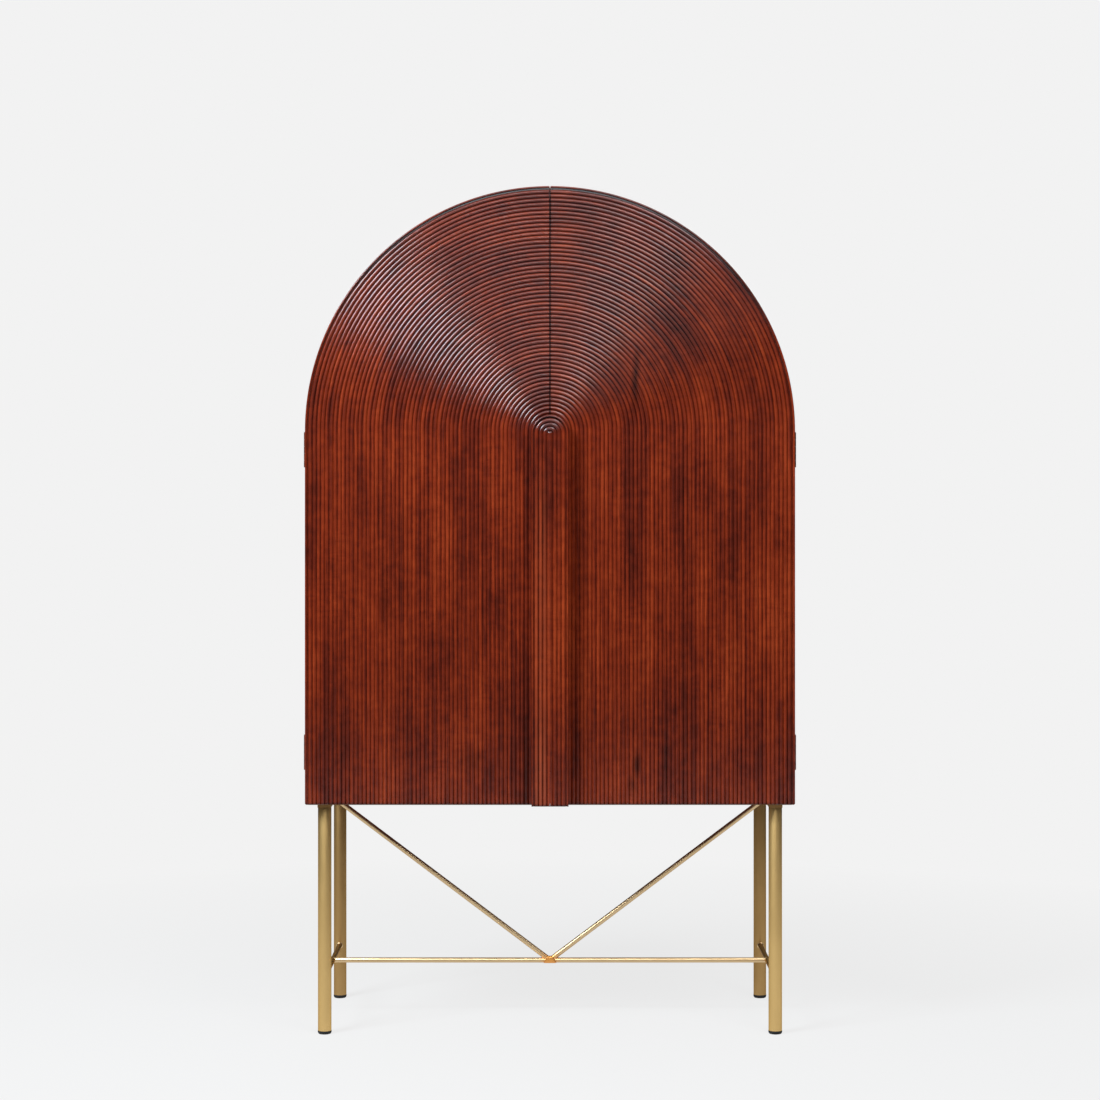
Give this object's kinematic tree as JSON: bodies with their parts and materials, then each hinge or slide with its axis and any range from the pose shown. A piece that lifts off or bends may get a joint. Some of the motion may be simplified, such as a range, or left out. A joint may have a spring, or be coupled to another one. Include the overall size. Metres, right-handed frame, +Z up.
{
  "type": "arched two-door cabinet on a metal underframe",
  "caption": "Arch-topped cabinet with hinged doors in concentric reeded wood, a reeded handle strip along the meeting edges, and an underframe of brass tube and rod.",
  "frame": {"origin": "on the floor, at the middle of the overall width and depth", "axes": "+X to the right seen from the front, +Y to the back (the doors face -Y), +Z up"},
  "size_m": [0.9276, 0.426, 1.598],
  "materials": {
    "reeded_mahogany": "red-brown stained hardwood reeds, dark in the grooves, satin lacquer",
    "cabinet_mahogany": "red-brown stained veneer, satin lacquer",
    "inside_veneer": "stained veneer, matt lacquer",
    "beech": "unfinished",
    "satin_brass": "brushed, lightly aged",
    "hinge_bronze": "dark bronze patina",
    "fastener_steel": "zinc plated",
    "catch_plastic": "fine moulded grain",
    "magnet_ferrite": "ground, matt",
    "glide_rubber": "matt black"
  },
  "bodies": {
    "cabinet": {"arch_splines": "beech", "arch_top_panel": "cabinet_mahogany", "back_panel": "inside_veneer", "back_screws": "fastener_steel", "bottom_panel": "inside_veneer", "brace_block": "satin_brass", "carcass_dowels": "beech", "catch_screws": "fastener_steel", "cross_rod": "satin_brass", "fixed_shelf": "inside_veneer", "frame_screws": "fastener_steel", "front_left_glide": "glide_rubber", "front_left_leg": "satin_brass", "front_right_glide": "glide_rubber", "front_right_leg": "satin_brass", "hinge_frame_screws": "fastener_steel", "hinge_pins": "hinge_bronze", "left_brace_rod": "satin_brass", "left_catch_case": "catch_plastic", "left_catch_magnet": "magnet_ferrite", "left_lower_hinge_frame_leaf": "hinge_bronze", "left_side_panel": "cabinet_mahogany", "left_side_rod": "satin_brass", "left_top_rail": "satin_brass", "left_upper_hinge_frame_leaf": "hinge_bronze", "lower_shelf": "inside_veneer", "rear_left_glide": "glide_rubber", "rear_left_leg": "satin_brass", "rear_right_glide": "glide_rubber", "rear_right_leg": "satin_brass", "right_brace_rod": "satin_brass", "right_catch_case": "catch_plastic", "right_catch_magnet": "magnet_ferrite", "right_lower_hinge_frame_leaf": "hinge_bronze", "right_side_panel": "cabinet_mahogany", "right_side_rod": "satin_brass", "right_top_rail": "satin_brass", "right_upper_hinge_frame_leaf": "hinge_bronze", "shelf_pins": "fastener_steel", "upper_shelf": "inside_veneer", "wall_rail": "inside_veneer"},
    "right_door": {"right_door_panel": "reeded_mahogany", "right_handle_half": "reeded_mahogany", "right_handle_screws": "fastener_steel", "right_hinge_door_screws": "fastener_steel", "right_lower_hinge_door_leaf": "hinge_bronze", "right_strike_plate": "fastener_steel", "right_strike_screws": "fastener_steel", "right_upper_hinge_door_leaf": "hinge_bronze"},
    "left_door": {"left_door_panel": "reeded_mahogany", "left_handle_half": "reeded_mahogany", "left_handle_screws": "fastener_steel", "left_hinge_door_screws": "fastener_steel", "left_lower_hinge_door_leaf": "hinge_bronze", "left_strike_plate": "fastener_steel", "left_strike_screws": "fastener_steel", "left_upper_hinge_door_leaf": "hinge_bronze"}
  },
  "joints": [
    {"name": "right_door_hinge", "type": "hinge", "parent": "cabinet", "child": "right_door", "pos_m": [0.4604, -0.164, 0.8208], "axis": [0, 0, 1], "range_deg": [0, 170]},
    {"name": "left_door_hinge", "type": "hinge", "parent": "cabinet", "child": "left_door", "pos_m": [-0.4604, -0.164, 0.8208], "axis": [0, 0, -1], "range_deg": [0, 170]}
  ]
}
